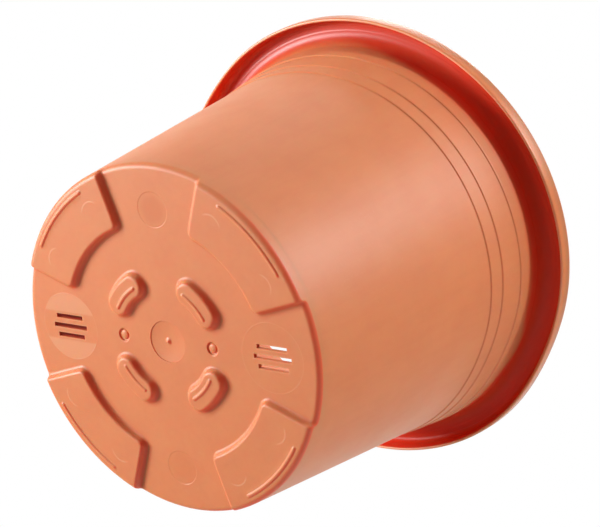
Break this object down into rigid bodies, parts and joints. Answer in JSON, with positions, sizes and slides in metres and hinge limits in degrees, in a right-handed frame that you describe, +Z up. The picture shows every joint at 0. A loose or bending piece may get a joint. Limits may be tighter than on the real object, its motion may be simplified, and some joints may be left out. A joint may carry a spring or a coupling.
{
  "type": "plant pot",
  "caption": "Round tapered plastic plant pot with a folded rim, stacking ledges, raised feet and slotted drain discs in its base.",
  "frame": {"origin": "centre of the base, on the standing plane that the ribs on the soles of the feet touch", "axes": "+Z up along the pot's axis, towards its mouth; +X through the middle of one of the two slotted drain discs"},
  "size_m": [0.1906, 0.1906, 0.141],
  "materials": {
    "terracotta_plastic": "satin injection-moulded polypropylene, terracotta orange, with a fine mould grain"
  },
  "bodies": {
    "root": {"side_wall": "terracotta_plastic", "stacking_band": "terracotta_plastic", "rim_flange": "terracotta_plastic", "rim_skirt": "terracotta_plastic", "floor_plate": "terracotta_plastic", "foot_1": "terracotta_plastic", "foot_2": "terracotta_plastic", "foot_3": "terracotta_plastic", "foot_4": "terracotta_plastic", "inner_foot_1": "terracotta_plastic", "inner_foot_2": "terracotta_plastic", "inner_foot_3": "terracotta_plastic", "inner_foot_4": "terracotta_plastic", "drain_disc_right": "terracotta_plastic", "drain_disc_left": "terracotta_plastic", "gate_disc": "terracotta_plastic", "blank_disc_front": "terracotta_plastic", "blank_disc_back": "terracotta_plastic", "pin_mark_right": "terracotta_plastic", "pin_mark_left": "terracotta_plastic"}
  },
  "joints": []
}
